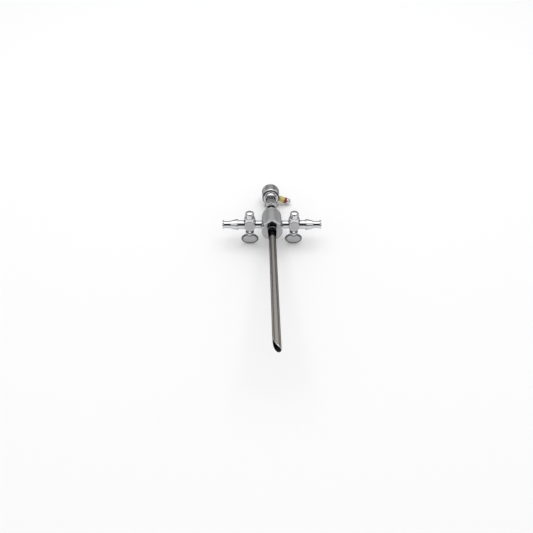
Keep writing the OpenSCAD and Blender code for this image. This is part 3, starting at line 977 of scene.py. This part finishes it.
def drum_side():
    """The drum's surface towards an arm, as x for each y and z."""
    low, high = span("manifold_drum", 1)
    spots = local_points("manifold_drum", TUBE_AXIS)
    rear = spots[:, 2] > high - 0.6
    rear_r = np.hypot(spots[rear, 0], spots[rear, 1]).max()
    slope = (rear_r - DRUM_R_FRONT) / (high - low)
    return lambda y, z: math.sqrt((DRUM_R_FRONT + slope * (y - low)) ** 2 - z**2)


def barrel_side(name, side, sign):
    """The stopcock barrel's inner (-1) or outer (1) surface, as x for each y and z."""
    node, place = name + "_cock_body", plug_axis(side)
    waist, top = span(node, 0, place)[1], span(node, 2, place)[1]

    def surface(y, z):
        radius = barrel_radius(z, waist, top - SHOULDER_H)
        return TAP_X + sign * math.sqrt(radius**2 - y**2)

    return surface


def arms():
    """Arm tubes, outlets and the brazed joints at both ends of each arm."""
    drum = drum_side()
    for name, side in SIDES.items():
        tube, outlet = name + "_arm_tube", name + "_outlet_tube"
        for node in (tube, outlet):
            completed(turned_piece(node, arm_axis(side), 0.05, 12, 72), node)
        luer_connector(name, side)
        cock_body(name, side)
        inner, outer = (barrel_side(name, side, sign) for sign in (-1, 1))
        braze(name + "_drum_braze", side, tube, drum, ARM_R, 1)
        braze(name + "_inner_braze", side, tube, inner, ARM_R, -1, 0.3)
        braze(name + "_outer_braze", side, outlet, outer, OUTLET_R, 1, 0.25)


def taps():
    """Cap nuts, keys and the plugs' washers and springs."""
    for name, side in SIDES.items():
        place = plug_axis(side)
        completed(turned_piece(name + "_cap_nut", place, 0.1, 12, 96), name + "_cap_nut")
        key(name, side)
        for part in ("washer", "disc_spring"):
            node = f"{name}_{part}"
            completed(turned_piece(node, place, 0.05, 12, 64), node)


def sheath():
    """Everything that stands still: tube, hub, neck and rear socket."""
    sheath_tube()
    hub_spindle()
    socket_hub()
    stop_pin()
    for node, edge, steps in (
        ("front_ferrule", 0.12, 96), ("rear_nut", 0.2, 128), ("neck_tube", 0.05, 72),
        ("rear_cup", 0.15, 128), ("friction_washer", 0.08, 128),
        ("front_thrust_washer", 0.04, 128), ("rear_thrust_washer", 0.04, 128),
        ("wave_washer", 0.04, 96),
    ):
        completed(turned_piece(node, TUBE_AXIS, edge, 12, steps), node)


def lever():
    """The lock lever: stem, two enamel bands and tip."""
    for node in ("lever_stem", "lever_band_yellow", "lever_band_red", "lever_tip"):
        completed(turned_piece(node, LEVER_AXIS, 0.12, 12, 72), node)


def kept_nodes():
    """Gives the CAD nodes that keep their own mesh the finish of their slot."""
    for name, node in frame["nodes"].items():
        if not node.hide_render:
            node.data.materials.clear()
            node.data.materials.append(MATERIALS[SLOT_OF[name]])


# ---------------------------------------------------------------- studio

# From the point where the arms cross the sheath
CAMERA_OFFSET = (-0.01241, -0.34156, 0.32320)
CAMERA_TURN = (42.250, -0.616, -0.735)
CAMERA_LENS = 37.414
SKY = 0.80
SOFTBOX_WATTS = 9.0


def camera():
    """A camera above and in front of the tip."""
    data = bpy.data.cameras.new("camera")
    data.lens = CAMERA_LENS
    data.sensor_width = 36
    data.clip_start, data.clip_end = 0.01, 30
    shown = bpy.data.objects.new("camera", data)
    shown.location = SHEATH.translation + Vector(CAMERA_OFFSET)
    shown.rotation_euler = [math.radians(a) for a in CAMERA_TURN]
    bpy.context.scene.collection.objects.link(shown)
    bpy.context.scene.camera = shown


def plain(name, colour):
    """A matt surface."""
    material = bpy.data.materials.new(name)
    material.use_nodes = True
    shader = material.node_tree.nodes["Principled BSDF"]
    shader.inputs["Base Color"].default_value = (*colour, 1)
    shader.inputs["Roughness"].default_value = 0.9
    return material


def floor():
    """A pale table that reaches well past the view."""
    half, steps = 3.0, 12
    ticks = [half * (2 * i / steps - 1) for i in range(steps + 1)]
    vertices = [(x, y, 0.0) for y in ticks for x in ticks]
    wide = steps + 1
    faces = [
        (j * wide + i, j * wide + i + 1, (j + 1) * wide + i + 1, (j + 1) * wide + i)
        for j in range(steps)
        for i in range(steps)
    ]
    mesh = bpy.data.meshes.new("floor")
    mesh.from_pydata(vertices, [], faces)
    table = bpy.data.objects.new("floor", mesh)
    mesh.materials.append(plain("floor", (0.86, 0.86, 0.865)))
    bpy.context.scene.collection.objects.link(table)


def dome_patch(name, radius, start, end, low, high):
    """Part of a dome between two bearings and two elevations."""
    across = max(8, round((end - start) / 6))
    up = max(4, round((high - low) / 5))
    vertices, faces = [], []
    for row in range(up + 1):
        rise = math.radians(low + (high - low) * row / up)
        for column in range(across + 1):
            turn = math.radians(start + (end - start) * column / across)
            flat = radius * math.cos(rise)
            spot = flat * math.sin(turn), flat * math.cos(turn), radius * math.sin(rise)
            vertices.append(spot)
    for row in range(up):
        for column in range(across):
            a = row * (across + 1) + column
            faces.append((a, a + 1, a + across + 2, a + across + 1))
    mesh = bpy.data.meshes.new(name)
    mesh.from_pydata(vertices, [], faces)
    return bpy.data.objects.new(name, mesh)


def dome_glow(name, radius, stops):
    """Light that changes with height: stops are [elevation, brightness] pairs."""
    material = bpy.data.materials.new(name)
    material.use_nodes = True
    tree = material.node_tree
    tree.nodes.clear()
    where = tree.nodes.new("ShaderNodeTexCoord")
    parts = tree.nodes.new("ShaderNodeSeparateXYZ")
    share = tree.nodes.new("ShaderNodeMapRange")
    ramp = tree.nodes.new("ShaderNodeValToRGB")
    light = tree.nodes.new("ShaderNodeEmission")
    out = tree.nodes.new("ShaderNodeOutputMaterial")
    heights = [radius * math.sin(math.radians(elevation)) for elevation, _ in stops]
    bottom, top = heights[0], heights[-1]
    share.inputs["From Min"].default_value = bottom
    share.inputs["From Max"].default_value = top
    tree.links.new(where.outputs["Object"], parts.inputs["Vector"])
    tree.links.new(parts.outputs["Z"], share.inputs["Value"])
    tree.links.new(share.outputs["Result"], ramp.inputs["Fac"])
    tree.links.new(ramp.outputs["Color"], light.inputs["Color"])
    tree.links.new(light.outputs["Emission"], out.inputs["Surface"])
    for index, (_, brightness) in enumerate(stops):
        place = (heights[index] - bottom) / (top - bottom)
        if index < 2:
            stop = ramp.color_ramp.elements[index]
            stop.position = place
        else:
            stop = ramp.color_ramp.elements.new(place)
        stop.color = (brightness, brightness, brightness, 1)
    return material


def card(name, radius, start, end, stops):
    """A glowing patch of a dome that only reflections see."""
    patch = dome_patch(name, radius, start, end, stops[0][0], stops[-1][0])
    patch.data.materials.append(dome_glow(name, radius, stops))
    patch.visible_camera = False
    patch.visible_diffuse = False
    patch.visible_shadow = False
    patch.visible_transmission = False
    bpy.context.scene.collection.objects.link(patch)


def softbox(name, watts, size, spot):
    """A rectangular lamp that points at the origin."""
    data = bpy.data.lights.new(name, "AREA")
    data.shape = "RECTANGLE"
    data.size, data.size_y = size
    data.energy = watts
    light = bpy.data.objects.new(name, data)
    light.location = spot
    light.rotation_euler = (-Vector(spot)).to_track_quat("-Z", "Y").to_euler()
    bpy.context.scene.collection.objects.link(light)


def studio():
    """White room with an overhead softbox, a dim skirting and a dark side behind the camera."""
    world = bpy.data.worlds.new("world")
    world.use_nodes = True
    world.node_tree.nodes["Background"].inputs["Color"].default_value = (SKY, SKY, SKY, 1)
    bpy.context.scene.world = world
    bpy.context.scene.view_settings.view_transform = "Standard"
    floor()
    softbox("overhead", SOFTBOX_WATTS, (1.6, 1.2), (0, 0.35, 1.3))
    card("skirting", 1.6, -150, 150, [(-1, 0.03), (13, 0.06), (18, 0.4), (24, 0.9)])
    card("camera_side", 1.5, 150, 210, [(-1, 0.3), (18, 0.22), (32, 0.04), (75, 0.04), (84, 0.4)])


# ---------------------------------------------------------------- build

camera()
studio()
sheath()
manifold_drum()
arms()
taps()
lock_ring()
lock_cover()
lever()
kept_nodes()
